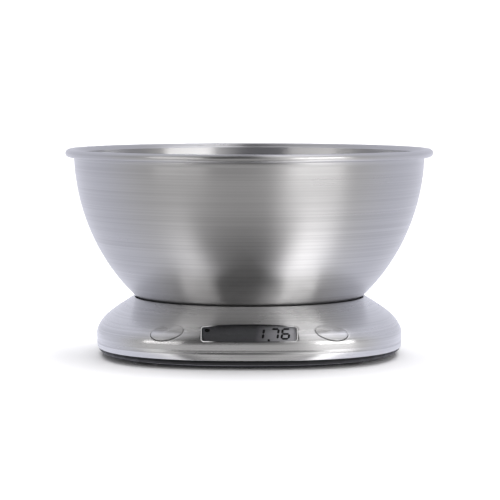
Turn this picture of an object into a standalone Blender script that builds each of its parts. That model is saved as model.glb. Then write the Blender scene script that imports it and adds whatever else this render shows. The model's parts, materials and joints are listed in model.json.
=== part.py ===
"""A digital kitchen scale: a steel bowl that lifts off a low steel and plastic base with a load cell in it.

Run it with: blender --background --python part.py
Units are metres, +Z is up, the display faces -Y, and z = 0 is the worktop under the feet.
"""

import math

import bmesh
import bpy
from mathutils import Matrix, Vector
from mathutils.geometry import interpolate_bezier

MM = 0.001
GAP = 0.3 * MM  # left between pieces that touch on the real object
OVERSHOOT = 0.5 * MM  # how far a recess cutter starts outside the face that it cuts
SUNK = 1.0 * MM  # how far a boss starts inside the wall that it stands on

# Smoothness: how many flat sides a round thing has.
BOWL_SIDES = 56
OUTLINE_SIDES = 52
DISC_SIDES = 40
MIDDLE_SIDES = 20
SMALL_SIDES = 12
SCREW_SIDES = 10

# Bowl: a half ellipsoid with a flat floor and a rolled rim.
TOTAL_HEIGHT = 133.5 * MM
BOWL_RADIUS = 114.5 * MM
BOWL_SEMI_HEIGHT = 126.4 * MM
BOWL_DEPTH = 105 * MM
BOWL_WALL = 1.0 * MM
RIM_RADIUS = 2.6 * MM
RIM_REACH = 120 * MM
BOWL_FOOT_Z = TOTAL_HEIGHT - BOWL_DEPTH
WALL_STEPS = 9
RIM_ARC = (157.5, -135, 13)  # first and last angle, and steps that fall on the rim's top and side

# Cover: a pressed steel skin whose outline goes from a round collar to a rounded square.
SKIN = 0.8 * MM
COLLAR_CENTRE = (75.7 * MM, 36.1 * MM)
COLLAR_ROLL = 0.9 * MM
COLLAR_LIP_Z = 33.4 * MM
SLOPE_START_ANGLE = 53
SLOPE_FIRST_PULL = (85.8 * MM, 30.2 * MM)
SLOPE_LAST_PULL = (99.3 * MM, 22.6 * MM)
SHOULDER = (99.2 * MM, 15.6 * MM)
CREASE = [(99.0 * MM, 12.2 * MM), (98.4 * MM, 10.8 * MM), (99.15 * MM, 9.9 * MM)]
SKIRT_BOTTOM = (99.15 * MM, 5.8 * MM)
SLOPE_ROWS = 7
ROUND = 2.0
SQUARED = 2.87
SQUARING_RATE = 0.67
SQUARED_AT_BOTTOM = 2.45  # the corners tuck in from the crease down to the skirt's edge

# Bottom pan: a moulded tray inside the skirt.
PAN_FOOT_Z = 2.2 * MM
PAN_FLOOR_Z = 4.2 * MM
PAN_WALL_TOP = 9.7 * MM
PAN_OUTER = [
    (97.6 * MM, PAN_WALL_TOP),
    (97.6 * MM, 5.5 * MM),
    (98.6 * MM, 5.5 * MM),
    (98.2 * MM, 4.2 * MM),
    (96.8 * MM, 2.8 * MM),
    (94.4 * MM, PAN_FOOT_Z),
]
PAN_INNER = [(91.4 * MM, PAN_FLOOR_Z), (95.6 * MM, 6.0 * MM), (95.6 * MM, PAN_WALL_TOP)]
STOP_BOSS_RADIUS = 4 * MM
STOP_BOSS_TOP = 5.6 * MM
POST_BOSS_RADIUS = 4.4 * MM
SCREW_HOLE_TOP = 12 * MM

# Inner frame: the ring glued inside the cover, with the posts that the housing screws bite into.
RING_OUTER = 97.2 * MM
RING_INNER = 95.5 * MM
RING_BOTTOM = 10.1 * MM
RING_TOP = 15.5 * MM
RING_NOTCH_HALF_WIDTH = 66 * MM  # the gap that clears the display and the buttons
RING_NOTCH_Y = (-100 * MM, -50 * MM)
RING_NOTCH_Z = (12 * MM, 20 * MM)
POST_X = 80 * MM
POST_Y = 30 * MM
POST_RADIUS = 4.5 * MM
POST_BOTTOM = 10.6 * MM
POST_TOP = 22 * MM
POST_HOLE_Z = (9 * MM, 19 * MM)
RIB_HALF_WIDTH = 1.5 * MM
RIB_Z = (11 * MM, 15 * MM)
RIB_START = 2 * MM  # from the middle of its post
RIB_END = RING_INNER - 0.6 * MM  # inside the ring's wall, which bends in a little at POST_Y

# Feet and housing screws.
FOOT_CENTRE = 64 * MM
FOOT_RADIUS = 8 * MM
FOOT_TOP = 2.5 * MM
FOOT_CHAMFER = 0.6 * MM
FOOT_RECESS_TOP = 2.8 * MM
HOUSING_HEAD_RADIUS = 2.6 * MM
HOUSING_HEAD_Z = (3.2 * MM, 5.0 * MM)
HOUSING_SHANK_TOP = 17 * MM
SHANK_RADIUS = 1.4 * MM
SCREW_CHAMFER = 0.35 * MM
RECESS_ARM = 0.55 * MM
RECESS_REACH = 1.9 * MM
RECESS_DEPTH = 1.0 * MM

# Load cell: an aluminium beam along X, held at its left end and loaded at its right.
CELL_LENGTH = 75 * MM
CELL_SIDE = 12.7 * MM
CELL_BOTTOM = 7.7 * MM
CELL_TOP = CELL_BOTTOM + CELL_SIDE
CELL_BORE_RADIUS = 4.6 * MM
CELL_BORE_X = 8 * MM
CELL_SLOT_HEIGHT = 4 * MM
CELL_SCREW_X = (22 * MM, 32 * MM)
CELL_TAPPING_Z = (6 * MM, 22 * MM)
CELL_CUTTER_REACH = 8 * MM
CELL_SHANK_RADIUS = 1.9 * MM
CELL_SHANK_TOP = 18 * MM
CELL_HEAD_RADIUS = 3.6 * MM
CELL_HEAD_Z = (2.9 * MM, 5.4 * MM)
GAUGE_COATING = (13 * MM, 4.6 * MM, 0.9 * MM)  # half length, half width, thickness
PEDESTAL_SIZE = (24 * MM, 16 * MM)
PEDESTAL_X = -26.5 * MM
PEDESTAL_TOP = CELL_BOTTOM - GAP
STOP_GAP = 0.5 * MM
STOP_X = 30 * MM
STOP_HEAD_Z = (2.6 * MM, 4.0 * MM)

# Weighing platform: a dished disc on a four-armed spider.
PLATFORM_BOTTOM = 25.2 * MM
PLATFORM_TOP = 27.2 * MM
PLATFORM_PROFILE = [
    (64.9 * MM, PLATFORM_TOP),
    (70.4 * MM, 32.6 * MM),
    (71.0 * MM, 32.9 * MM),
    (72.2 * MM, 32.5 * MM),
    (72.7 * MM, 31.4 * MM),
    (72.7 * MM, 29.4 * MM),
    (71.0 * MM, 29.4 * MM),
    (65.9 * MM, PLATFORM_BOTTOM),
]
HEAD_HOLE_Z = (24 * MM, 28 * MM)
PLATFORM_SHANK_BOTTOM = 11 * MM
PLATFORM_SCREW_FACE = PLATFORM_TOP - 0.1 * MM
GRIP_TOP = 28.2 * MM
GRIP_INNER = 46 * MM
GRIP_OUTER = 56 * MM
SPIDER_REACH = 50 * MM
SPIDER_WIDTH = 14 * MM
SPIDER_BOTTOM = 22.4 * MM
SPIDER_TOP = PLATFORM_BOTTOM - GAP
SPIDER_ARM_STEP = 0.2 * MM  # the cross arm is thinner than the long one on each side
SPIDER_HOLE_Z = (18 * MM, 26 * MM)
SPIDER_PAD_X = (16 * MM, 37 * MM)
SPIDER_PAD_HALF_WIDTH = 6.7 * MM
SPIDER_PAD_TOP = 23 * MM

# Display and buttons, in the axes of the sloping window: x across, y up the slope, z out of it.
WINDOW_CENTRE = (0, -95.1 * MM, 23.05 * MM)
WINDOW_TILT = 47.9
WINDOW_HALF_WIDTH = 30 * MM
WINDOW_HALF_HEIGHT = 6.95 * MM
WINDOW_END_HALF_HEIGHT = 6.1 * MM
WINDOW_CORNER = 1.6 * MM
WINDOW_BOW_STEPS = 8
WINDOW_PRISM_Z = (-4 * MM, 3 * MM)
LENS_INSET = 0.35 * MM
LENS_THICKNESS = 1.15 * MM
LCD_X = 29 * MM
LCD_Y = (-6.0 * MM, 8.0 * MM)
LCD_Z = (-6.0 * MM, -3.9 * MM)
HOLDER_WALL = 1.2 * MM
HOLDER_Z = (-12.2 * MM, -4.8 * MM)
HOLDER_EAR_X = 37 * MM
HOLDER_EAR_Y = 4.5 * MM
HOLDER_EAR_TOP = -7.0 * MM
HOLDER_POCKET_Z = (-14 * MM, 0)
ZEBRA_X = 27 * MM
ZEBRA_WIDTH = 2.2 * MM
BOARD_Z = (-14.1 * MM, -12.5 * MM)
BOARD_CORNERS = [(38, -7.5), (52, -1.5), (52, 11), (-52, 11), (-52, -1.5), (-38, -7.5)]  # millimetres
BOARD_BACK = BOARD_Z[0] - GAP
BOARD_SCREW_X = 33.5 * MM
BOARD_SHANK_RADIUS = 1.0 * MM
BOARD_SHANK_TOP = -7.6 * MM
BOARD_HEAD_RADIUS = 2.3 * MM
BOARD_HEAD_HEIGHT = 1.5 * MM
BOARD_HOLE_Z = (-16 * MM, -7 * MM)
CONTROLLER_AT = (-6 * MM, 1 * MM)
CONTROLLER_DOME = [(6, 0), (5.4, 0.9), (3, 1.5), (0, 1.7)]  # radius and depth, millimetres
CHIP_X = (12 * MM, 22 * MM)
CHIP_HALF_WIDTH = 2 * MM
CHIP_HEIGHT = 1.6 * MM
BUTTON_X = 51 * MM
BUTTON_Y = 3.6 * MM
BUTTON_RADII = (10.1 * MM, 6.1 * MM)
BUTTON_SIDES = 32
BUTTON_PRISM_Z = (-14 * MM, 2 * MM)
BUTTON_GROOVE = 0.35 * MM
BUTTON_CAP = 1.0 * MM
BUTTON_FLANGE = 1.1 * MM
BUTTON_FLANGE_WIDER = 1.2 * MM
PLUNGER_X = 46 * MM
PLUNGER_RADIUS = 2.2 * MM
PLUNGER_STEM_TOP = -5.6 * MM
SWITCH_SIDE = 6 * MM
SWITCH_TOP = -9.0 * MM
SWITCH_WELL_Z = (-11.2 * MM, -8.0 * MM)
SWITCH_STEM_Z = (-10.2 * MM, -8.1 * MM)
SWITCH_STEM_RADIUS = 1.6 * MM

# Batteries: two AAA cells side by side in a bay behind the load cell, with their door under them.
BAY_CENTRE_Y = 40 * MM
BAY_INNER = (56 * MM, 25 * MM)
BAY_OUTER = (61 * MM, 30 * MM)
BAY_ROOF = (16.0 * MM, 17.5 * MM)
AAA_LENGTH = 44.5 * MM
AAA_RADIUS = 5.2 * MM
AAA_BUTTON_RADIUS = 1.9 * MM
AAA_BUTTON_HEIGHT = 0.8 * MM
AAA_SHOULDER = 0.6 * MM
AAA_Z = 10.4 * MM
AAA_SPACING = 12 * MM
CONTACT_THICKNESS = 0.5 * MM
CONTACT_HALF_SIDE = 4.2 * MM
DIMPLE_SUNK = 0.2 * MM
DIMPLE_RADII = (1.8 * MM, 3 * MM)
SPRING_WIRE_RADIUS = 0.3 * MM
SPRING_COIL_RADIUS = 3.2 * MM
SPRING_TURNS = 3
SPRING_STEPS = 8
DOOR_SIZE = (58 * MM, 27 * MM)
DOOR_TOP = 3.9 * MM
DOOR_PIN_RADIUS = 0.8 * MM
DOOR_PIN_LENGTH = 1.2 * MM
DOOR_PIN_HOLE_END = 31 * MM
DOOR_AXIS_INSET = 0.85 * MM
DOOR_GRIP = (7 * MM, 2 * MM, 0.6 * MM)  # half length, width, depth
DOOR_GRIP_FROM_EDGE = 4 * MM
LATCH_SLIT_X = 8.5 * MM
LATCH_SLIT_HALF_WIDTH = 0.5 * MM
LATCH_SLIT_LENGTH = 8 * MM
LATCH_SLIT_HALF_HEIGHT = 3 * MM
WIRE_RADIUS = 0.6 * MM


# ---- scene, collections and paints ----


def clear_scene():
    for obj in list(bpy.data.objects):
        bpy.data.objects.remove(obj, do_unlink=True)
    for collection in list(bpy.data.collections):
        bpy.data.collections.remove(collection)


def new_collection(name):
    collection = bpy.data.collections.new(name)
    bpy.context.scene.collection.children.link(collection)
    return collection


clear_scene()
PARTS = new_collection("kitchen_scale")
TOOLS = new_collection("cutters")
TOOLS.hide_render = True


def paint(name, colour, roughness, metallic=0.0, transmission=0.0):
    material = bpy.data.materials.new(name)
    material.use_nodes = True
    shader = material.node_tree.nodes["Principled BSDF"]
    shader.inputs["Base Color"].default_value = (*colour, 1)
    shader.inputs["Roughness"].default_value = roughness
    shader.inputs["Metallic"].default_value = metallic
    shader.inputs["Transmission Weight"].default_value = transmission
    return material


BRUSHED_STEEL = paint("brushed_steel", (0.62, 0.61, 0.60), 0.26, 1.0)
BLACK_PLASTIC = paint("black_plastic", (0.025, 0.025, 0.028), 0.5)
GREY_PLASTIC = paint("grey_plastic", (0.16, 0.16, 0.17), 0.55)
WHITE_PLASTIC = paint("white_plastic", (0.75, 0.75, 0.73), 0.45)
RUBBER = paint("rubber", (0.04, 0.04, 0.04), 0.85)
CLEAR_PLASTIC = paint("clear_plastic", (0.9, 0.92, 0.93), 0.05, 0.0, 1.0)
LCD_GLASS = paint("lcd_glass", (0.22, 0.24, 0.23), 0.15)
ALUMINIUM = paint("aluminium", (0.77, 0.78, 0.79), 0.35, 1.0)
ZINC_STEEL = paint("zinc_steel", (0.65, 0.66, 0.68), 0.3, 1.0)
NICKEL = paint("nickel", (0.70, 0.68, 0.63), 0.25, 1.0)
GREEN_BOARD = paint("green_board", (0.03, 0.16, 0.07), 0.4)
BLACK_EPOXY = paint("black_epoxy", (0.015, 0.015, 0.015), 0.35)
SILICONE = paint("silicone", (0.86, 0.86, 0.83), 0.6)
CELL_JACKET = paint("cell_jacket", (0.12, 0.14, 0.17), 0.3)
RED_WIRE = paint("red_wire", (0.5, 0.02, 0.02), 0.45)
BLACK_WIRE = paint("black_wire", (0.02, 0.02, 0.02), 0.45)
GREY_WIRE = paint("grey_wire", (0.45, 0.46, 0.47), 0.45)


# ---- building blocks ----


def place(name, data, colour=None, parent=None):
    """A part when it is given a colour, and otherwise a helper that a Boolean uses."""
    obj = bpy.data.objects.new(name, data)
    if colour:
        data.materials.append(colour)
        PARTS.objects.link(obj)
    else:
        TOOLS.objects.link(obj)
        obj.hide_render = True
        obj.display_type = "WIRE"
    obj.parent = parent
    return obj


def mesh_of(name, shape):
    bmesh.ops.recalc_face_normals(shape, faces=shape.faces)
    mesh = bpy.data.meshes.new(name)
    shape.to_mesh(mesh)
    shape.free()
    return mesh


def box(name, low, high, colour=None, parent=None):
    shape = bmesh.new()
    middle = (Vector(low) + Vector(high)) / 2
    size = Vector(high) - Vector(low)
    bmesh.ops.create_cube(shape, size=1, matrix=Matrix.Translation(middle) @ Matrix.Diagonal((*size, 1)))
    return place(name, mesh_of(name, shape), colour, parent)


def cylinder(
    name, radius, bottom, top, at=(0, 0), colour=None, parent=None, sides=SMALL_SIDES, radius_y=None
):
    """An upright cylinder, oval when it is given a second radius."""
    shape = bmesh.new()
    middle = Matrix.Translation((*at, (bottom + top) / 2))
    stretch = Matrix.Diagonal((radius, radius_y or radius, top - bottom, 1))
    bmesh.ops.create_cone(
        shape, cap_ends=True, segments=sides, radius1=1, radius2=1, depth=1, matrix=middle @ stretch
    )
    return place(name, mesh_of(name, shape), colour, parent)


def prism(name, outline, bottom, top, colour=None, parent=None):
    """A flat outline raised from bottom to top."""
    shape = bmesh.new()
    ring = [shape.verts.new((x, y, bottom)) for x, y in outline]
    edges = [shape.edges.new(pair) for pair in zip(ring, ring[1:] + ring[:1])]
    bmesh.ops.contextual_create(shape, geom=edges)
    raised = bmesh.ops.extrude_face_region(shape, geom=list(shape.faces))
    moved = [item for item in raised["geom"] if isinstance(item, bmesh.types.BMVert)]
    bmesh.ops.translate(shape, verts=moved, vec=(0, 0, top - bottom))
    return place(name, mesh_of(name, shape), colour, parent)


def turned(name, profile, colour=None, parent=None, sides=SMALL_SIDES, closed=False):
    """A profile of (radius, height) points turned about Z. Its outer side runs from top to bottom."""
    shape = bmesh.new()
    points = [shape.verts.new((radius, 0, height)) for radius, height in profile]
    pairs = zip(points, points[1:] + points[:1]) if closed else zip(points, points[1:])
    for pair in pairs:
        shape.edges.new(pair)
    mesh = bpy.data.meshes.new(name)
    shape.to_mesh(mesh)
    shape.free()
    obj = place(name, mesh, colour, parent)
    screw = obj.modifiers.new("turn", "SCREW")
    screw.steps = sides
    screw.render_steps = sides
    screw.use_merge_vertices = True
    screw.merge_threshold = 0.00002
    return obj


def loft(name, rows, colour=None, capped=False):
    """A skin through equal rows of points. It closes on itself, or capped fills its first and last rows."""
    shape = bmesh.new()
    rings = [[shape.verts.new(point) for point in row] for row in rows]
    following = rings[1:] if capped else rings[1:] + rings[:1]
    for ring, after in zip(rings, following):
        for near, far, far_after, near_after in zip(ring, ring[1:] + ring[:1], after[1:] + after[:1], after):
            shape.faces.new((near, far, far_after, near_after))
    if capped:
        shape.faces.new(rings[0])
        shape.faces.new(rings[-1])
    return place(name, mesh_of(name, shape), colour)


def wire(name, points, radius, colour):
    """A straight-sided wire with rounded bends and closed ends."""
    curve = bpy.data.curves.new(name, "CURVE")
    curve.dimensions = "3D"
    curve.bevel_depth = radius
    curve.bevel_resolution = 1
    curve.use_fill_caps = True
    spline = curve.splines.new("POLY")
    spline.points.add(len(points) - 1)
    for target, point in zip(spline.points, points):
        target.co = (*point, 1)
    return place(name, curve, colour)


def combine(target, helper, operation):
    modifier = target.modifiers.new(f"{operation.lower()} {helper.name}", "BOOLEAN")
    modifier.operation = operation
    modifier.solver = "EXACT"
    modifier.object = helper


def cut(target, *helpers):
    for helper in helpers:
        combine(target, helper, "DIFFERENCE")


def weld(target, *helpers):
    for helper in helpers:
        combine(target, helper, "UNION")


def keep(target, helper):
    combine(target, helper, "INTERSECT")


def arc(centre, radius, first, last, count):
    """(radius, height) points on an arc, its angles in degrees."""
    angles = [math.radians(first + (last - first) * step / count) for step in range(count + 1)]
    return [(centre[0] + radius * math.cos(angle), centre[1] + radius * math.sin(angle)) for angle in angles]


def corners(distance_x, distance_y):
    """The four corner places, with the words that name them."""
    for end, sign_y in (("front", -1), ("rear", 1)):
        for side, sign_x in (("left", -1), ("right", 1)):
            yield f"{end}_{side}", (sign_x * distance_x, sign_y * distance_y)


def cross_recess(name, at, opening, depth, parent=None):
    """The cross that a screwdriver fits, cut from opening along Z by depth, which is negative from above."""
    arm, reach = RECESS_ARM, RECESS_REACH
    outline = [
        (arm, arm), (arm, reach), (-arm, reach), (-arm, arm), (-reach, arm), (-reach, -arm),
        (-arm, -arm), (-arm, -reach), (arm, -reach), (arm, -arm), (reach, -arm), (reach, arm),
    ]  # fmt: skip
    outline = [(at[0] + x, at[1] + y) for x, y in outline]
    outside = opening - math.copysign(OVERSHOOT, depth)
    return prism(name, outline, *sorted((outside, opening + depth)), parent=parent)


def screw(name, at, head_radius, head_z, shank_radius, shank_end, parent=None, colour=ZINC_STEEL):
    """A pan-head screw along Z. head_z runs from the shank's side of the head to its driven face."""
    under, face = head_z
    chamfer = math.copysign(SCREW_CHAMFER, face - under)
    profile = [
        (0, face),
        (head_radius - abs(chamfer), face),
        (head_radius, face - chamfer),
        (head_radius, under),
        (shank_radius, under),
        (shank_radius, shank_end),
        (0, shank_end),
    ]
    if face < under:
        profile.reverse()
    body = turned(name, profile, colour, parent, SCREW_SIDES)
    body.location = (*at, 0)
    cut(body, cross_recess(f"{name}_recess", at, face, math.copysign(RECESS_DEPTH, under - face), parent))
    return body


# ---- the cover's shape, which the lens and the button caps share ----


def squareness(half_width):
    """Exponent of the outline: round at the collar, a rounded square at the shoulder."""
    along = (half_width - COLLAR_CENTRE[0]) / (SHOULDER[0] - COLLAR_CENTRE[0])
    return ROUND + (SQUARED - ROUND) * min(max(along, 0), 1) ** SQUARING_RATE


def outline_at(half_width, height, exponent):
    row = []
    for step in range(OUTLINE_SIDES):
        angle = 2 * math.pi * step / OUTLINE_SIDES
        across, along = math.cos(angle), math.sin(angle)
        reach = half_width / (abs(across) ** exponent + abs(along) ** exponent) ** (1 / exponent)
        row.append((reach * across, reach * along, height))
    return row


def slope_rows(depth):
    """Rows down the slope from collar to shoulder, moved in from the outer face by depth."""
    start = arc(COLLAR_CENTRE, COLLAR_ROLL, SLOPE_START_ANGLE, 90, 1)[0]
    knots = [Vector((*point, 0)) for point in (start, SLOPE_FIRST_PULL, SLOPE_LAST_PULL, SHOULDER)]
    points = interpolate_bezier(*knots, SLOPE_ROWS)
    rows = []
    for index, point in enumerate(points):
        before = points[max(index - 1, 0)]
        after = points[min(index + 1, len(points) - 1)]
        along = (after - before).normalized()
        half_width, height = point.x + along.y * depth, point.y - along.x * depth
        rows.append(outline_at(half_width, height, squareness(point.x)))
    return rows


def slope_shell(name, outer_depth, inner_depth):
    """A helper: the skin between two depths below the cover's outer face."""
    return loft(name, slope_rows(outer_depth) + slope_rows(inner_depth)[::-1])


def round_rows(points):
    return [outline_at(half_width, height, squareness(half_width)) for half_width, height in points]


def squareness_low(height):
    """Exponent of the outline below the shoulder: squared down to the crease, then rounder."""
    above = (height - SKIRT_BOTTOM[1]) / (CREASE[-1][1] - SKIRT_BOTTOM[1])
    return SQUARED_AT_BOTTOM + (SQUARED - SQUARED_AT_BOTTOM) * min(max(above, 0), 1)


def squared_rows(points):
    return [outline_at(half_width, height, squareness_low(height)) for half_width, height in points]


# ---- bowl ----


def make_bowl():
    floor_angle = math.degrees(math.asin(BOWL_DEPTH / BOWL_SEMI_HEIGHT))
    outer, inner = [], []
    for step in range(WALL_STEPS + 1):
        angle = math.radians(floor_angle * step / WALL_STEPS)
        radius = BOWL_RADIUS * math.cos(angle)
        height = TOTAL_HEIGHT - BOWL_SEMI_HEIGHT * math.sin(angle)
        normal = Vector((math.cos(angle) / BOWL_RADIUS, -math.sin(angle) / BOWL_SEMI_HEIGHT)).normalized()
        outer.append((radius, height))
        inner.append((radius - normal.x * BOWL_WALL, height - normal.y * BOWL_WALL))
    rim_centre = (RIM_REACH - RIM_RADIUS, TOTAL_HEIGHT - RIM_RADIUS)
    rim = arc(rim_centre, RIM_RADIUS, *RIM_ARC)
    floor = [(0, BOWL_FOOT_Z + BOWL_WALL), (inner[-1][0], BOWL_FOOT_Z + BOWL_WALL)]
    wall_inside = inner[-2:0:-1]
    wall_outside = outer[1:]
    profile = floor + wall_inside + rim + wall_outside + [(0, BOWL_FOOT_Z)]
    turned("bowl", profile, BRUSHED_STEEL, sides=BOWL_SIDES)


# ---- housing ----


def make_cover(window, buttons):
    lip_outer = (COLLAR_CENTRE[0] - COLLAR_ROLL, COLLAR_LIP_Z)
    lip_inner = (COLLAR_CENTRE[0] - COLLAR_ROLL + SKIN, COLLAR_LIP_Z)
    roll_outer = arc(COLLAR_CENTRE, COLLAR_ROLL, 180, SLOPE_START_ANGLE, 3)[:-1]
    roll_inner = arc(COLLAR_CENTRE, COLLAR_ROLL - SKIN, 180, SLOPE_START_ANGLE, 2)[:-1]
    crease_inner = [(half_width - SKIN, height) for half_width, height in CREASE]
    skirt_inner = (SKIRT_BOTTOM[0] - SKIN, SKIRT_BOTTOM[1])
    rows = round_rows([lip_outer, *roll_outer]) + slope_rows(0)
    rows += squared_rows([*CREASE, SKIRT_BOTTOM, skirt_inner, *crease_inner[::-1]])
    rows += slope_rows(SKIN)[::-1] + round_rows([*roll_inner[::-1], lip_inner])
    cover = loft("top_cover", rows, BRUSHED_STEEL)
    cut(cover, window_prism("window_opening", window, 0), *buttons)


def make_pan():
    rows = squared_rows(PAN_INNER + PAN_OUTER)
    pan = loft("bottom_pan", rows, BLACK_PLASTIC, capped=True)
    sunk = PAN_FLOOR_Z - SUNK
    half_length, half_depth = PEDESTAL_SIZE[0] / 2, PEDESTAL_SIZE[1] / 2
    pedestal = box(
        "pedestal",
        (PEDESTAL_X - half_length, -half_depth, sunk),
        (PEDESTAL_X + half_length, half_depth, PEDESTAL_TOP),
    )
    weld(pan, pedestal, bay_box("bay_block", BAY_OUTER, sunk, BAY_ROOF[1]))
    weld(pan, cylinder("stop_boss", STOP_BOSS_RADIUS, sunk, STOP_BOSS_TOP, (STOP_X, 0)))
    for word, at in corners(POST_X, POST_Y):
        weld(pan, cylinder(f"boss_{word}", POST_BOSS_RADIUS, sunk, POST_BOTTOM - GAP, at))
    cut(pan, bay_box("bay_cavity", BAY_INNER, 0, BAY_ROOF[0]))
    door_opening = (DOOR_SIZE[0] + 2 * GAP, DOOR_SIZE[1] + 2 * GAP)
    cut(pan, bay_box("door_opening", door_opening, 0, PAN_FLOOR_Z))
    pin_hole = cylinder("door_pin_hole", DOOR_PIN_RADIUS + GAP, -DOOR_PIN_HOLE_END, DOOR_PIN_HOLE_END)
    pin_hole.rotation_euler = (0, math.pi / 2, 0)
    pin_hole.location = door_axis_point()
    cut(pan, pin_hole)
    for word, at in corners(FOOT_CENTRE, FOOT_CENTRE):
        radius = FOOT_RADIUS + GAP
        cut(pan, cylinder(f"foot_recess_{word}", radius, 0, FOOT_RECESS_TOP, at, sides=MIDDLE_SIDES))
    for word, at in corners(POST_X, POST_Y):
        hole = f"housing_hole_{word}"
        cut(pan, counterbore(hole, at, HOUSING_HEAD_RADIUS, HOUSING_HEAD_Z[1], SHANK_RADIUS))
    for number, x in enumerate(CELL_SCREW_X, 1):
        hole = f"cell_hole_{number}"
        cut(pan, counterbore(hole, (-x, 0), CELL_HEAD_RADIUS, CELL_HEAD_Z[1], CELL_SHANK_RADIUS))
    cut(pan, counterbore("stop_hole", (STOP_X, 0), HOUSING_HEAD_RADIUS, STOP_HEAD_Z[1], SHANK_RADIUS))


def counterbore(name, at, head_radius, head_top, shank_radius):
    """A helper: a screw hole from below, wide for the head and narrow above it."""
    wide, narrow, step = head_radius + GAP, shank_radius + GAP, head_top + GAP
    top = [(0, SCREW_HOLE_TOP), (narrow, SCREW_HOLE_TOP)]
    helper = turned(name, [*top, (narrow, step), (wide, step), (wide, 0), (0, 0)])
    helper.location = (*at, 0)
    return helper


def bay_box(name, size, bottom, top):
    half_x, half_y = size[0] / 2, size[1] / 2
    return box(name, (-half_x, BAY_CENTRE_Y - half_y, bottom), (half_x, BAY_CENTRE_Y + half_y, top))


def make_cover_frame():
    inner_side = [(RING_INNER, RING_BOTTOM), (RING_INNER, RING_TOP)]
    outer_side = [(RING_OUTER, RING_TOP), (RING_OUTER, RING_BOTTOM)]
    frame = loft("cover_frame", squared_rows(inner_side + outer_side), GREY_PLASTIC)
    notch_low = (-RING_NOTCH_HALF_WIDTH, RING_NOTCH_Y[0], RING_NOTCH_Z[0])
    notch_high = (RING_NOTCH_HALF_WIDTH, RING_NOTCH_Y[1], RING_NOTCH_Z[1])
    cut(frame, box("ring_notch", notch_low, notch_high))
    for word, (x, y) in corners(POST_X, POST_Y):
        weld(frame, cylinder(f"post_{word}", POST_RADIUS, POST_BOTTOM, POST_TOP, (x, y)))
        outward = math.copysign(1, x)
        ends = sorted((x + outward * RIB_START, outward * RIB_END))
        rib_low = (ends[0], y - RIB_HALF_WIDTH, RIB_Z[0])
        weld(frame, box(f"rib_{word}", rib_low, (ends[1], y + RIB_HALF_WIDTH, RIB_Z[1])))
        cut(frame, cylinder(f"pilot_{word}", SHANK_RADIUS + GAP, *POST_HOLE_Z, (x, y), sides=SCREW_SIDES))


def make_feet_and_screws():
    for word, at in corners(FOOT_CENTRE, FOOT_CENTRE):
        side = [(FOOT_RADIUS, FOOT_TOP), (FOOT_RADIUS, FOOT_CHAMFER), (FOOT_RADIUS - FOOT_CHAMFER, 0)]
        foot = turned(f"foot_{word}", [(0, FOOT_TOP), *side, (0, 0)], RUBBER, sides=MIDDLE_SIDES)
        foot.location = (*at, 0)
    for word, at in corners(POST_X, POST_Y):
        name = f"housing_screw_{word}"
        screw(name, at, HOUSING_HEAD_RADIUS, HOUSING_HEAD_Z[::-1], SHANK_RADIUS, HOUSING_SHANK_TOP)


# ---- load cell and platform ----


def make_load_cell():
    half, side = CELL_LENGTH / 2, CELL_SIDE / 2
    cell = box("load_cell", (-half, -side, CELL_BOTTOM), (half, side, CELL_TOP), ALUMINIUM)
    middle = (CELL_BOTTOM + CELL_TOP) / 2
    for number, x in enumerate((-CELL_BORE_X, CELL_BORE_X), 1):
        bore = cylinder(
            f"cell_bore_{number}", CELL_BORE_RADIUS, -CELL_CUTTER_REACH, CELL_CUTTER_REACH, sides=MIDDLE_SIDES
        )
        bore.rotation_euler = (math.pi / 2, 0, 0)
        bore.location = (x, 0, middle)
        cut(cell, bore)
    slot = CELL_SLOT_HEIGHT / 2
    slot_low = (-CELL_BORE_X, -CELL_CUTTER_REACH, middle - slot)
    cut(cell, box("cell_slot", slot_low, (CELL_BORE_X, CELL_CUTTER_REACH, middle + slot)))
    tapped = CELL_SHANK_RADIUS + GAP
    for number, x in enumerate([-place_x for place_x in CELL_SCREW_X] + list(CELL_SCREW_X), 1):
        cut(cell, cylinder(f"cell_tapping_{number}", tapped, *CELL_TAPPING_Z, (x, 0), sides=SCREW_SIDES))
    length, width, thickness = GAUGE_COATING
    for word, bottom in (("upper", CELL_TOP + GAP), ("lower", CELL_BOTTOM - GAP - thickness)):
        box(f"gauge_coating_{word}", (-length, -width, bottom), (length, width, bottom + thickness), SILICONE)
    for number, x in enumerate(CELL_SCREW_X, 1):
        name = f"cell_screw_{number}"
        screw(name, (-x, 0), CELL_HEAD_RADIUS, CELL_HEAD_Z[::-1], CELL_SHANK_RADIUS, CELL_SHANK_TOP)
    stop_top = CELL_BOTTOM - STOP_GAP
    screw("overload_stop_screw", (STOP_X, 0), HOUSING_HEAD_RADIUS, STOP_HEAD_Z[::-1], SHANK_RADIUS, stop_top)


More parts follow.
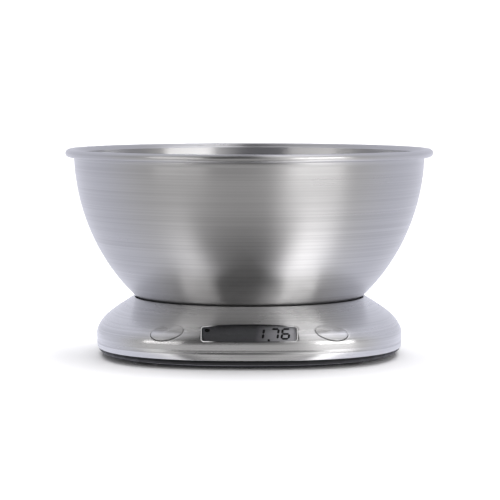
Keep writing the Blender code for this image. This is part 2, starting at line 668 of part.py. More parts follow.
def make_platform():
    profile = [(0, PLATFORM_TOP), *PLATFORM_PROFILE, (0, PLATFORM_BOTTOM)]
    platform = turned("weighing_platform", profile, GREY_PLASTIC, sides=DISC_SIDES)
    ring = [
        (GRIP_INNER, GRIP_TOP),
        (GRIP_OUTER, GRIP_TOP),
        (GRIP_OUTER, PLATFORM_TOP + GAP),
        (GRIP_INNER, PLATFORM_TOP + GAP),
    ]
    turned("grip_ring", ring, RUBBER, sides=DISC_SIDES, closed=True)
    half = SPIDER_WIDTH / 2
    arm_bottom, arm_top = SPIDER_BOTTOM + SPIDER_ARM_STEP, SPIDER_TOP - SPIDER_ARM_STEP
    spider = box(
        "platform_spider", (-SPIDER_REACH, -half, SPIDER_BOTTOM), (SPIDER_REACH, half, SPIDER_TOP), ALUMINIUM
    )
    arm = box("spider_arm", (-half, -SPIDER_REACH, arm_bottom), (half, SPIDER_REACH, arm_top))
    pad_low = (SPIDER_PAD_X[0], -SPIDER_PAD_HALF_WIDTH, CELL_TOP + GAP)
    pad_high = (SPIDER_PAD_X[1], SPIDER_PAD_HALF_WIDTH, SPIDER_PAD_TOP)
    weld(spider, arm, box("spider_pad", pad_low, pad_high))
    head_z = (SPIDER_TOP + GAP, PLATFORM_SCREW_FACE)
    for number, x in enumerate(CELL_SCREW_X, 1):
        cut(platform, cylinder(f"head_hole_{number}", CELL_HEAD_RADIUS + GAP, *HEAD_HOLE_Z, (x, 0)))
        hole = cylinder(
            f"spider_hole_{number}", CELL_SHANK_RADIUS + GAP, *SPIDER_HOLE_Z, (x, 0), sides=SCREW_SIDES
        )
        cut(spider, hole)
        name = f"platform_screw_{number}"
        screw(name, (x, 0), CELL_HEAD_RADIUS, head_z, CELL_SHANK_RADIUS, PLATFORM_SHANK_BOTTOM)


# ---- display and buttons, built in the window's own axes ----


def make_window_axes():
    axes = bpy.data.objects.new("window_axes", None)
    axes.location = WINDOW_CENTRE
    axes.rotation_euler = (math.radians(WINDOW_TILT), 0, 0)
    axes.empty_display_size = 0.02
    PARTS.objects.link(axes)
    return axes


def window_point(x, up_slope, outward):
    """World place of a point given in the window's axes."""
    turn = Matrix.Rotation(math.radians(WINDOW_TILT), 4, "X")
    return Vector(WINDOW_CENTRE) + turn @ Vector((x, up_slope, outward))


def window_prism(name, window, inset, colour=None):
    """The window's outline, bowed above and below, with rounded corners, as a prism through the cover."""
    bow = WINDOW_HALF_HEIGHT - WINDOW_END_HALF_HEIGHT
    straight = WINDOW_HALF_WIDTH - WINDOW_CORNER
    end_height = WINDOW_END_HALF_HEIGHT - WINDOW_CORNER
    upper = []
    for step in range(WINDOW_BOW_STEPS + 1):
        across = 2 * step / WINDOW_BOW_STEPS - 1
        upper.append((across * straight, WINDOW_END_HALF_HEIGHT + bow * (1 - across**2) - inset))
    corner = arc((straight, end_height), WINDOW_CORNER - inset, 45, 0, 2)
    right = corner + [(x, -y) for x, y in reversed(corner)]
    lower = [(-x, -y) for x, y in upper]
    left = [(-x, -y) for x, y in right]
    return prism(name, upper + right + lower + left, *WINDOW_PRISM_Z, colour, window)


def window_box(name, wider, bottom, top, window, colour=None):
    """A box around the LCD panel's outline, wider than it on each side."""
    low, high = (-LCD_X - wider, LCD_Y[0] - wider, bottom), (LCD_X + wider, LCD_Y[1] + wider, top)
    return box(name, low, high, colour, window)


def make_display(window):
    lens = window_prism("display_lens", window, GAP, CLEAR_PLASTIC)
    keep(lens, slope_shell("lens_skin", LENS_INSET, LENS_INSET + LENS_THICKNESS))
    box("lcd_panel", (-LCD_X, LCD_Y[0], LCD_Z[0]), (LCD_X, LCD_Y[1], LCD_Z[1]), LCD_GLASS, window)
    holder = window_box("lcd_holder", GAP + HOLDER_WALL, *HOLDER_Z, window, BLACK_PLASTIC)
    ears_low = (-HOLDER_EAR_X, -HOLDER_EAR_Y, HOLDER_Z[0])
    ears_high = (HOLDER_EAR_X, HOLDER_EAR_Y, HOLDER_EAR_TOP)
    weld(holder, box("holder_ears", ears_low, ears_high, parent=window))
    cut(holder, window_box("lcd_pocket", GAP, *HOLDER_POCKET_Z, window))
    for word, y in (("upper", LCD_Y[1] - ZEBRA_WIDTH), ("lower", LCD_Y[0])):
        low = (-ZEBRA_X, y, BOARD_Z[1] + GAP)
        high = (ZEBRA_X, y + ZEBRA_WIDTH, LCD_Z[0] - GAP)
        box(f"zebra_strip_{word}", low, high, RUBBER, window)
    outline = [(x * MM, y * MM) for x, y in BOARD_CORNERS]
    board = prism("main_board", outline, *BOARD_Z, GREEN_BOARD, window)
    head_z = (BOARD_BACK, BOARD_BACK - BOARD_HEAD_HEIGHT)
    for word, x in (("left", -BOARD_SCREW_X), ("right", BOARD_SCREW_X)):
        through = cylinder(
            f"board_hole_{word}",
            BOARD_SHANK_RADIUS + GAP,
            *BOARD_HOLE_Z,
            (x, 0),
            parent=window,
            sides=SCREW_SIDES,
        )
        cut(board, through)
        cut(holder, through)
        name = f"board_screw_{word}"
        screw(name, (x, 0), BOARD_HEAD_RADIUS, head_z, BOARD_SHANK_RADIUS, BOARD_SHANK_TOP, window)
    dome = [(0, BOARD_BACK)] + [(radius * MM, BOARD_BACK - depth * MM) for radius, depth in CONTROLLER_DOME]
    blob = turned("controller_blob", dome, BLACK_EPOXY, window)
    blob.location = (*CONTROLLER_AT, 0)
    chip_low = (CHIP_X[0], -CHIP_HALF_WIDTH, BOARD_BACK - CHIP_HEIGHT)
    box("converter_chip", chip_low, (CHIP_X[1], CHIP_HALF_WIDTH, BOARD_BACK), BLACK_EPOXY, window)


def button_prism(name, window, side, wider, colour=None):
    """A button's oval, grown by wider all round, as a prism through the cover."""
    return cylinder(
        name,
        BUTTON_RADII[0] + wider,
        *BUTTON_PRISM_Z,
        (side * BUTTON_X, BUTTON_Y),
        colour,
        window,
        BUTTON_SIDES,
        BUTTON_RADII[1] + wider,
    )


def make_button(window, word, side):
    """The steel cap, the plastic plunger behind it, and the switch on the board with its stem."""
    cap = button_prism(f"button_cap_{word}", window, side, 0, BRUSHED_STEEL)
    keep(cap, slope_shell(f"cap_skin_{word}", 0, BUTTON_CAP))
    flange_top = BUTTON_CAP + GAP
    plunger = button_prism(f"button_plunger_{word}", window, side, BUTTON_FLANGE_WIDER, WHITE_PLASTIC)
    keep(plunger, slope_shell(f"plunger_skin_{word}", flange_top, flange_top + BUTTON_FLANGE))
    at = (side * PLUNGER_X, BUTTON_Y)
    stem_z = (SWITCH_STEM_Z[1] + GAP, PLUNGER_STEM_TOP)
    weld(plunger, cylinder(f"plunger_stem_{word}", PLUNGER_RADIUS, *stem_z, at, parent=window))
    half = SWITCH_SIDE / 2
    switch = box(
        f"tact_switch_{word}",
        (at[0] - half, at[1] - half, BOARD_Z[1] + GAP),
        (at[0] + half, at[1] + half, SWITCH_TOP),
        BLACK_PLASTIC,
        window,
    )
    well_radius = SWITCH_STEM_RADIUS + GAP
    cut(switch, cylinder(f"switch_well_{word}", well_radius, *SWITCH_WELL_Z, at, parent=window))
    cylinder(f"switch_stem_{word}", SWITCH_STEM_RADIUS, *SWITCH_STEM_Z, at, WHITE_PLASTIC, window)


# ---- batteries ----


def door_axis_point():
    """Middle of the door's hinge axis, at its edge nearer the load cell."""
    return (0, BAY_CENTRE_Y - DOOR_SIZE[1] / 2 + DOOR_AXIS_INSET, (PAN_FOOT_Z + DOOR_TOP) / 2)


def make_door():
    axis = Vector(door_axis_point())
    half_x = DOOR_SIZE[0] / 2
    far_y = BAY_CENTRE_Y + DOOR_SIZE[1] / 2 - axis.y
    bottom, top = PAN_FOOT_Z - axis.z, DOOR_TOP - axis.z
    door = box("battery_door", (-half_x, 0, bottom), (half_x, far_y, top), BLACK_PLASTIC)
    door.location = axis
    edge_radius, pin_end = (top - bottom) / 2, half_x + DOOR_PIN_LENGTH
    for word, radius, end in (("edge", edge_radius, half_x), ("pins", DOOR_PIN_RADIUS, pin_end)):
        roll = cylinder(f"door_{word}", radius, -end, end, parent=door)
        roll.rotation_euler = (0, math.pi / 2, 0)
        weld(door, roll)
    grip_half, grip_width, grip_depth = DOOR_GRIP
    grip_y = far_y - DOOR_GRIP_FROM_EDGE
    grip_low = (-grip_half, grip_y, bottom - OVERSHOOT)
    cut(door, box("door_grip", grip_low, (grip_half, grip_y + grip_width, bottom + grip_depth), parent=door))
    for word, x in (("left", -LATCH_SLIT_X), ("right", LATCH_SLIT_X)):
        slit_low = (x - LATCH_SLIT_HALF_WIDTH, far_y - LATCH_SLIT_LENGTH, -LATCH_SLIT_HALF_HEIGHT)
        slit_high = (x + LATCH_SLIT_HALF_WIDTH, far_y + OVERSHOOT, LATCH_SLIT_HALF_HEIGHT)
        cut(door, box(f"latch_slit_{word}", slit_low, slit_high, parent=door))


def make_batteries():
    """The front cell points its button to the left, and the rear cell points its own to the right."""
    half = AAA_LENGTH / 2
    body_end = half - AAA_BUTTON_HEIGHT
    profile = [
        (0, half),
        (AAA_BUTTON_RADIUS, half),
        (AAA_BUTTON_RADIUS, body_end),
        (AAA_RADIUS - AAA_SHOULDER, body_end),
        (AAA_RADIUS, body_end - AAA_SHOULDER),
        (AAA_RADIUS, AAA_SHOULDER - half),
        (AAA_RADIUS - AAA_SHOULDER, -half),
        (0, -half),
    ]
    places = {"front": (BAY_CENTRE_Y - AAA_SPACING / 2, -1), "rear": (BAY_CENTRE_Y + AAA_SPACING / 2, 1)}
    for word, (y, button_side) in places.items():
        cell = turned(f"battery_{word}", profile, CELL_JACKET)
        cell.rotation_euler = (0, button_side * math.pi / 2, 0)
        cell.location = (0, y, AAA_Z)
    wall = BAY_INNER[0] / 2 - GAP
    room = wall - CONTACT_THICKNESS - half - 2 * GAP
    front_y, rear_y = places["front"][0], places["rear"][0]
    link = contact_plate("battery_link_plate", wall - CONTACT_THICKNESS, front_y, rear_y)
    weld(link, contact_dimple("link_dimple", wall - CONTACT_THICKNESS, rear_y, -room))
    positive = contact_plate("positive_contact", -wall, front_y, front_y)
    weld(positive, contact_dimple("positive_dimple", CONTACT_THICKNESS - wall, front_y, room))
    contact_plate("negative_contact", -wall, rear_y, rear_y)
    battery_spring("link_spring", half + GAP, front_y, room)
    battery_spring("negative_spring", -half - GAP - room, rear_y, room)


def contact_plate(name, low_x, first_y, last_y):
    half = CONTACT_HALF_SIDE
    low = (low_x, first_y - half, AAA_Z - half)
    return box(name, low, (low_x + CONTACT_THICKNESS, last_y + half, AAA_Z + half), NICKEL)


def contact_dimple(name, plate_x, y, reach):
    """A helper: the pressed bump that a cell's button rests on. It starts inside the plate."""
    sunk = math.copysign(DIMPLE_SUNK, reach)
    tip, foot = DIMPLE_RADII
    profile = [(0, reach), (tip, reach), (foot, 0), (foot, -sunk), (0, -sunk)]
    if reach < 0:
        profile.reverse()
    bump = turned(name, profile)
    bump.rotation_euler = (0, math.pi / 2, 0)
    bump.location = (plate_x, y, AAA_Z)
    return bump


def battery_spring(name, start_x, y, length):
    """A coil along X, from start_x."""
    steps = SPRING_TURNS * SPRING_STEPS
    points = []
    for step in range(steps + 1):
        angle = 2 * math.pi * step / SPRING_STEPS
        x = start_x + SPRING_WIRE_RADIUS + (length - 2 * SPRING_WIRE_RADIUS) * step / steps
        across, up = SPRING_COIL_RADIUS * math.cos(angle), SPRING_COIL_RADIUS * math.sin(angle)
        points.append((x, y + across, AAA_Z + up))
    spring = wire(name, points, SPRING_WIRE_RADIUS, NICKEL)
    spring.data.bevel_resolution = 0


def make_wires():
    """Leads clipped to the pan floor, from the battery bay and the load cell to the back of the board."""
    bay_side = -BAY_OUTER[0] / 2 - GAP
    floor_z = PAN_FLOOR_Z + GAP + WIRE_RADIUS
    for word, y, lane, board_x, colour in (
        ("red", 34 * MM, -46 * MM, -44 * MM, RED_WIRE),
        ("black", 46 * MM, -49 * MM, -47 * MM, BLACK_WIRE),
    ):
        points = [
            (bay_side, y, AAA_Z),
            (bay_side - 5 * MM, y, AAA_Z),
            (lane + 2 * MM, y - 4 * MM, floor_z + 2 * MM),
            (lane, y - 8 * MM, floor_z),
            (lane, -50 * MM, floor_z),
            (board_x, -62 * MM, floor_z + 3 * MM),
            window_point(board_x, 4 * MM, BOARD_BACK - 6 * MM),
            window_point(board_x, 4 * MM, BOARD_BACK),
        ]
        wire(f"battery_lead_{word}", points, WIRE_RADIUS, colour)
    edge = -CELL_SIDE / 2
    points = [
        (-8 * MM, -GAUGE_COATING[1] - GAP, CELL_TOP + GAP + WIRE_RADIUS),
        (-8 * MM, edge - 3 * MM, CELL_TOP + GAP + WIRE_RADIUS),
        (-9 * MM, edge - 6 * MM, 14 * MM),
        (-12 * MM, edge - 10 * MM, floor_z),
        (-18 * MM, -50 * MM, floor_z),
        (-20 * MM, -62 * MM, floor_z + 3 * MM),
        window_point(-20 * MM, 4 * MM, BOARD_BACK - 6 * MM),
        window_point(-20 * MM, 4 * MM, BOARD_BACK),
    ]
    wire("gauge_lead", points, WIRE_RADIUS, GREY_WIRE)


def main():
    window = make_window_axes()
    openings = [
        button_prism("button_opening_left", window, -1, BUTTON_GROOVE),
        button_prism("button_opening_right", window, 1, BUTTON_GROOVE),
    ]
    make_bowl()
    make_cover(window, openings)
    make_pan()
    make_cover_frame()
    make_feet_and_screws()
    make_load_cell()
    make_platform()
    make_display(window)
    make_button(window, "left", -1)
    make_button(window, "right", 1)
    make_door()
    make_batteries()
    make_wires()


main()
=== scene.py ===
"""The looks of the kitchen scale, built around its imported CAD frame.

Everything is in metres, in the CAD's frame. The CAD gives the pieces and their places. This script rebuilds
what shows with finer meshes, gives every piece a procedural material, and sets up the camera, the floor and
soft studio light.
"""

import json
import math

import bmesh
import bpy
from mathutils import Matrix, Vector
from mathutils.geometry import interpolate_bezier


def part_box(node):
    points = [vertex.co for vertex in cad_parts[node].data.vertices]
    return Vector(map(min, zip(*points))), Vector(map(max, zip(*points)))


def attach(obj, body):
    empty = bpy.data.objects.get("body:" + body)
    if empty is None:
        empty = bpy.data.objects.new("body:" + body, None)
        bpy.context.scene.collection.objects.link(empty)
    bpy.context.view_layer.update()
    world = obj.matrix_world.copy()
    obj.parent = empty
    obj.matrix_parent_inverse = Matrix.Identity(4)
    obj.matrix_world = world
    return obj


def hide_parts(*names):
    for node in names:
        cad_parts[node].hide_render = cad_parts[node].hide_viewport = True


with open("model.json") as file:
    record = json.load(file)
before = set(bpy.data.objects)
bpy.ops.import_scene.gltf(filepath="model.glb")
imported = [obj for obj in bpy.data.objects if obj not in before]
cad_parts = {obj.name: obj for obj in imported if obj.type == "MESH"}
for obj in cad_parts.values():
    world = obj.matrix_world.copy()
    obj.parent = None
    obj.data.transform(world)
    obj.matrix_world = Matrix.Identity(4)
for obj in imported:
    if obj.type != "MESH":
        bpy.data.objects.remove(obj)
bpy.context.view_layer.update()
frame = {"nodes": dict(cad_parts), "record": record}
NODES = frame["nodes"]

MM = 0.001
GAP = 0.3 * MM

# The two CAD boxes that set sizes here. The main sizes below repeat the CAD's own, apart from three that
# say so.
BOWL_LOW, BOWL_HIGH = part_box("bowl")
COVER_LOW, COVER_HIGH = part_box("top_cover")

# Edges: how far they are eased on the CAD's nodes and on the pieces that are rebuilt.
CAD_BEVEL = 0.12 * MM
COVER_BEVEL = 0.35 * MM
LENS_BEVEL = 0.2 * MM
CAP_BEVEL = 0.45 * MM

# Bowl: a half ellipsoid with a flat floor and a rolled rim.
BOWL_RADIUS = BOWL_HIGH.x - 5.5 * MM
BOWL_SEMI_HEIGHT = 126.4 * MM
BOWL_WALL = 1.0 * MM
RIM_RADIUS = 2.6 * MM
RIM_ANGLES = (157.5, -135)
RIM_STEPS = 39
RIM_CLEARANCE = (0.4 * MM, 0.3 * MM)  # left out of the wall next to the rim, inside and outside
BOWL_FLOOR_ROUNDING = 3 * MM
BOWL_FLOOR_FLAT = 30 * MM
BOWL_BASE_FLAT = 4 * MM
BOWL_SIDES = 224
BOWL_STEPS = 44

# Cover: round at the collar, a rounded square at the shoulder.
SKIN = 0.8 * MM
COLLAR_CENTRE = (75.7 * MM, COVER_HIGH.z - 0.9 * MM)
COLLAR_ROLL = 0.9 * MM
COLLAR_LIP_Z = 33.4 * MM
SLOPE_START_ANGLE = 53
SLOPE_FIRST_PULL = (85.8 * MM, 30.2 * MM)
SLOPE_LAST_PULL = (COVER_HIGH.x + 0.1 * MM, 22.6 * MM)
SHOULDER = (COVER_HIGH.x, 15.6 * MM)
CREASE = [(99.0 * MM, 12.2 * MM), (98.4 * MM, 10.8 * MM), (99.15 * MM, 9.9 * MM)]
SKIRT_BOTTOM = (99.15 * MM, COVER_LOW.z)
SKIRT_WALL_TOP = 8 * MM
SHOULDER_ROUNDING = 0.7 * MM
HEM_ROUNDING = 0.35 * MM
SQUARED = 2.87
SQUARING_RATE = 0.67
SQUARED_AT_BOTTOM = 2.45
OUTLINE_SIDES = 240
SLOPE_STEPS = 26
FRONT_HALF_ANGLE = math.radians(44)
FRONT_STEPS = 72

# The window's own axes: x across, y up the slope, z out of it.
WINDOW_CENTRE = (0, -95.1 * MM, 23.05 * MM)
WINDOW_TILT = math.radians(47.9)
WINDOW_AXES = Matrix.Translation(WINDOW_CENTRE) @ Matrix.Rotation(WINDOW_TILT, 4, "X")
WINDOW_HALF_WIDTH = 30 * MM
WINDOW_HALF_HEIGHT = 6.95 * MM
WINDOW_END_HALF_HEIGHT = 6.1 * MM
WINDOW_CORNER = 2.2 * MM  # 1.6 mm in the CAD
WINDOW_CORNER_START = 75
WINDOW_STEPS = 16
LENS_INSET = 0.35 * MM
LENS_THICKNESS = 1.15 * MM

# The lens's outer edge: its depths below the cover's face, and how far it lies in from the window's outline.
EDGE_DEPTH = (0.12 * MM, LENS_INSET - 0.03 * MM)
EDGE_INSET = (0.1 * MM, 0.55 * MM)

# The LCD, and what shows on it: each digit with the place of its left side, the point and the round mark.
LCD_X = 29 * MM
LCD_Y = (-6.0 * MM, 8.0 * MM)
LCD_Z = (-6.0 * MM, -3.9 * MM)
LCD_CORNER = 0.5 * MM
INK_Z = (LCD_Z[1] + 0.02 * MM, LCD_Z[1] + 0.07 * MM)
READING = [("1", 3.9 * MM), ("7", 13.0 * MM), ("6", 19.9 * MM)]
DIGIT_BOTTOM = -2.0 * MM
DIGIT_HEIGHT = 7.4 * MM
DIGIT_WIDTH = 4.4 * MM
DIGIT_STROKE = 1.4 * MM
DIGIT_LEAN = 0.12
STROKE_SPACE = 0.08 * DIGIT_STROKE
POINT_X = 12.0 * MM
POINT_DROP = 1.1 * MM
POINT_RADII = (0.75 * MM, 0.8 * MM)
ZERO_MARK_AT = (-26.0 * MM, 4.4 * MM)
ZERO_MARK_RADII = (1.6 * MM, 1.35 * MM)

BUTTON_AT = (51 * MM, 3.6 * MM)
BUTTON_RADII = (10.1 * MM, 6.1 * MM)
BUTTON_GROOVE = 0.4 * MM  # 0.35 mm in the CAD
BUTTON_CAP = 1.0 * MM
CAP_LIFT = 0.3 * MM  # up the slope from the middle of its opening, where the CAD has it

# How far the cutting prisms reach below and above the window's plane.
WINDOW_CUT = (-4 * MM, 3 * MM)
LENS_CUT = (-8 * MM, 3 * MM)
EDGE_CUT = (-9 * MM, 4 * MM)
BUTTON_CUT = (-12 * MM, 2 * MM)

# The height of the bump in the steel's lines and in moulded and plated surfaces.
LINE_DEPTH = 0.06 * MM
GRAIN_DEPTH = 0.05 * MM
PLATE_DEPTH = 0.04 * MM


# ---- building blocks ----


def piece(name, mesh, body, material, replaced=(), matrix=None):
    """An object with a material, which rides on a body and may replace CAD nodes."""
    obj = bpy.data.objects.new(name, mesh)
    bpy.context.scene.collection.objects.link(obj)
    if matrix is not None:
        obj.matrix_world = matrix
    mesh.materials.clear()
    mesh.materials.append(material)
    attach(obj, body)
    if replaced:
        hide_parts(*replaced)
    return obj


def to_mesh(name, shape, sharp_angle=35):
    bmesh.ops.recalc_face_normals(shape, faces=shape.faces)
    mesh = bpy.data.meshes.new(name)
    shape.to_mesh(mesh)
    shape.free()
    soften(mesh, sharp_angle)
    return mesh


def soften(mesh, sharp_angle=35):
    mesh.shade_smooth()
    mesh.set_sharp_from_angle(angle=math.radians(sharp_angle))


def arc(centre, radius, first, last, count):
    """(radius, height) points on an arc, its angles in degrees."""
    angles = [math.radians(first + (last - first) * step / count) for step in range(count + 1)]
    return [(centre[0] + radius * math.cos(angle), centre[1] + radius * math.sin(angle)) for angle in angles]


def rounded(points, radius, steps=4, closed=False):
    """The same polyline with its corners rounded to a radius, or to what its sides allow."""
    out = []
    count = len(points)
    for index, point in enumerate(points):
        if not closed and index in (0, count - 1):
            out.append(tuple(point))
            continue
        here = Vector(point)
        before = Vector(points[index - 1]) - here
        after = Vector(points[(index + 1) % count]) - here
        turn = before.angle(after)
        if turn > math.radians(176):
            out.append(tuple(point))
            continue
        reach = min(radius / math.tan(turn / 2), 0.45 * before.length, 0.45 * after.length)
        start, end = here + before.normalized() * reach, here + after.normalized() * reach
        for step in range(steps + 1):
            t = step / steps
            blend = start * (1 - t) ** 2 + here * (2 * t * (1 - t)) + end * t**2
            out.append(tuple(blend))
    return out


def turned_mesh(name, profile, sides, sharp_angle):
    """A profile of (radius, height) points turned about Z."""
    shape = bmesh.new()
    points = [shape.verts.new((radius, 0, height)) for radius, height in profile]
    edges = [shape.edges.new(pair) for pair in zip(points, points[1:])]
    bmesh.ops.spin(
        shape,
        geom=points + edges,
        axis=(0, 0, 1),
        cent=(0, 0, 0),
        steps=sides,
        angle=2 * math.pi,
        use_merge=True,
    )
    bmesh.ops.remove_doubles(shape, verts=shape.verts, dist=1e-7)
    return to_mesh(name, shape, sharp_angle)


def loft_shape(rings, wrap):
    """A skin through closed rings of points.

    It either wraps round to the first ring or has its two ends filled.
    """
    shape = bmesh.new()
    loops = [[shape.verts.new(point) for point in ring] for ring in rings]
    following = loops[1:] + loops[:1] if wrap else loops[1:]
    for ring, after in zip(loops, following):
        for near, far, far_after, near_after in zip(ring, ring[1:] + ring[:1], after[1:] + after[:1], after):
            shape.faces.new((near, far, far_after, near_after))
    if not wrap:
        shape.faces.new(loops[0])
        shape.faces.new(loops[-1])
    return shape


def prism_shape(outline, bottom, top):
    shape = bmesh.new()
    ring = [shape.verts.new((x, y, bottom)) for x, y in outline]
    edges = [shape.edges.new(pair) for pair in zip(ring, ring[1:] + ring[:1])]
    bmesh.ops.contextual_create(shape, geom=edges)
    raised = bmesh.ops.extrude_face_region(shape, geom=list(shape.faces))
    moved = [item for item in raised["geom"] if isinstance(item, bmesh.types.BMVert)]
    bmesh.ops.translate(shape, verts=moved, vec=(0, 0, top - bottom))
    return shape


def oval(radii, at, count=96):
    turns = [2 * math.pi * step / count for step in range(count)]
    return [(at[0] + radii[0] * math.cos(turn), at[1] + radii[1] * math.sin(turn)) for turn in turns]


def box_outline(half_x, half_y, corner, at):
    points = [(half_x, half_y), (-half_x, half_y), (-half_x, -half_y), (half_x, -half_y)]
    return [(x + at[0], y + at[1]) for x, y in rounded(points, corner, closed=True)]


def merge_shapes(name, shapes, matrix=None):
    """One mesh of several shapes that don't touch."""
    whole = bmesh.new()
    for shape in shapes:
        bmesh.ops.recalc_face_normals(shape, faces=shape.faces)
        part = bpy.data.meshes.new(name)
        shape.to_mesh(part)
        shape.free()
        whole.from_mesh(part)
        bpy.data.meshes.remove(part)
    mesh = bpy.data.meshes.new(name)
    whole.to_mesh(mesh)
    whole.free()
    if matrix is not None:
        mesh.transform(matrix)
    return mesh


def ease_edges(obj, width, segments, angle):
    """A bevel on the edges that turn by more than the angle, which is in degrees."""
    ease = obj.modifiers.new("ease", "BEVEL")
    ease.width = width
    ease.segments = segments
    ease.limit_method = "ANGLE"
    ease.angle_limit = math.radians(angle)
    return ease


def boolean(name, mesh, operation, tool, bevel=0.0):
    """The mesh after a Boolean with the tool's mesh, with its sharp edges eased if a bevel is given."""
    target = bpy.data.objects.new(name, mesh)
    helper = bpy.data.objects.new(f"{name}_tool", tool)
    for obj in (target, helper):
        bpy.context.scene.collection.objects.link(obj)
    modifier = target.modifiers.new("cut", "BOOLEAN")
    modifier.operation = operation
    modifier.solver = "EXACT"
    modifier.object = helper
    if bevel:
        ease = ease_edges(target, bevel, segments=3, angle=50)
        ease.use_clamp_overlap = True
        ease.miter_outer = "MITER_ARC"
    bpy.context.view_layer.update()
    graph = bpy.context.evaluated_depsgraph_get()
    result = bpy.data.meshes.new_from_object(target.evaluated_get(graph))
    result.name = name
    for obj in (target, helper):
        data = obj.data
        bpy.data.objects.remove(obj)
        bpy.data.meshes.remove(data)
    soften(result)
    return result


# ---- the cover's shape, which the lens and the button caps share ----


def squareness(half_width):
    """Exponent of the outline on the slope: round at the collar, and squared at the shoulder."""
    along = (half_width - COLLAR_CENTRE[0]) / (SHOULDER[0] - COLLAR_CENTRE[0])
    return 2 + (SQUARED - 2) * min(max(along, 0), 1) ** SQUARING_RATE


def squareness_low(height):
    """Exponent of the outline below the shoulder: squared down to the crease, then rounder."""
    above = (height - SKIRT_BOTTOM[1]) / (CREASE[-1][1] - SKIRT_BOTTOM[1])
    return SQUARED_AT_BOTTOM + (SQUARED - SQUARED_AT_BOTTOM) * min(max(above, 0), 1)


def outline_point(half_width, height, exponent, angle):
    across, along = math.cos(angle), math.sin(angle)
    reach = half_width / (abs(across) ** exponent + abs(along) ** exponent) ** (1 / exponent)
    return (reach * across, reach * along, height)


def outline_ring(half_width, height, exponent):
    turns = [2 * math.pi * step / OUTLINE_SIDES for step in range(OUTLINE_SIDES)]
    return [outline_point(half_width, height, exponent, turn) for turn in turns]


def slope_profile(depth):
    """(half width, height, exponent) down the slope, moved in from the outer face by depth."""
    start = arc(COLLAR_CENTRE, COLLAR_ROLL, SLOPE_START_ANGLE, 90, 1)[0]
    knots = [Vector((*point, 0)) for point in (start, SLOPE_FIRST_PULL, SLOPE_LAST_PULL, SHOULDER)]
    points = interpolate_bezier(*knots, SLOPE_STEPS)
    rows = []
    for index, point in enumerate(points):
        along = (points[min(index + 1, SLOPE_STEPS - 1)] - points[max(index - 1, 0)]).normalized()
        rows.append((point.x + along.y * depth, point.y - along.x * depth, squareness(point.x)))
    return rows


def front_shell(outer_depth, inner_depth):
    """A thick skin of the slope's front, between two depths below the outer face."""
    profile = slope_profile(outer_depth) + slope_profile(inner_depth)[::-1]
    rings = []
    for step in range(FRONT_STEPS + 1):
        angle = -math.pi / 2 - FRONT_HALF_ANGLE + 2 * FRONT_HALF_ANGLE * step / FRONT_STEPS
        rings.append([outline_point(*row, angle) for row in profile])
    return loft_shape(rings, wrap=False)


def window_outline(inset):
    """The window's outline, moved in by inset. Its long sides bow out a little between rounded corners."""
    bow = WINDOW_HALF_HEIGHT - WINDOW_END_HALF_HEIGHT
    straight = WINDOW_HALF_WIDTH - WINDOW_CORNER
    end_height = WINDOW_END_HALF_HEIGHT - WINDOW_CORNER
    upper = []
    for step in range(-WINDOW_STEPS, WINDOW_STEPS + 1):
        across = step / WINDOW_STEPS
        upper.append((across * straight, WINDOW_END_HALF_HEIGHT + bow * (1 - across**2) - inset))
    corner = arc((straight, end_height), WINDOW_CORNER - inset, WINDOW_CORNER_START, 0, 6)
    right = corner + [(x, -y) for x, y in reversed(corner)]
    return upper + right + [(-x, -y) for x, y in upper] + [(-x, -y) for x, y in right]


# ---- materials ----


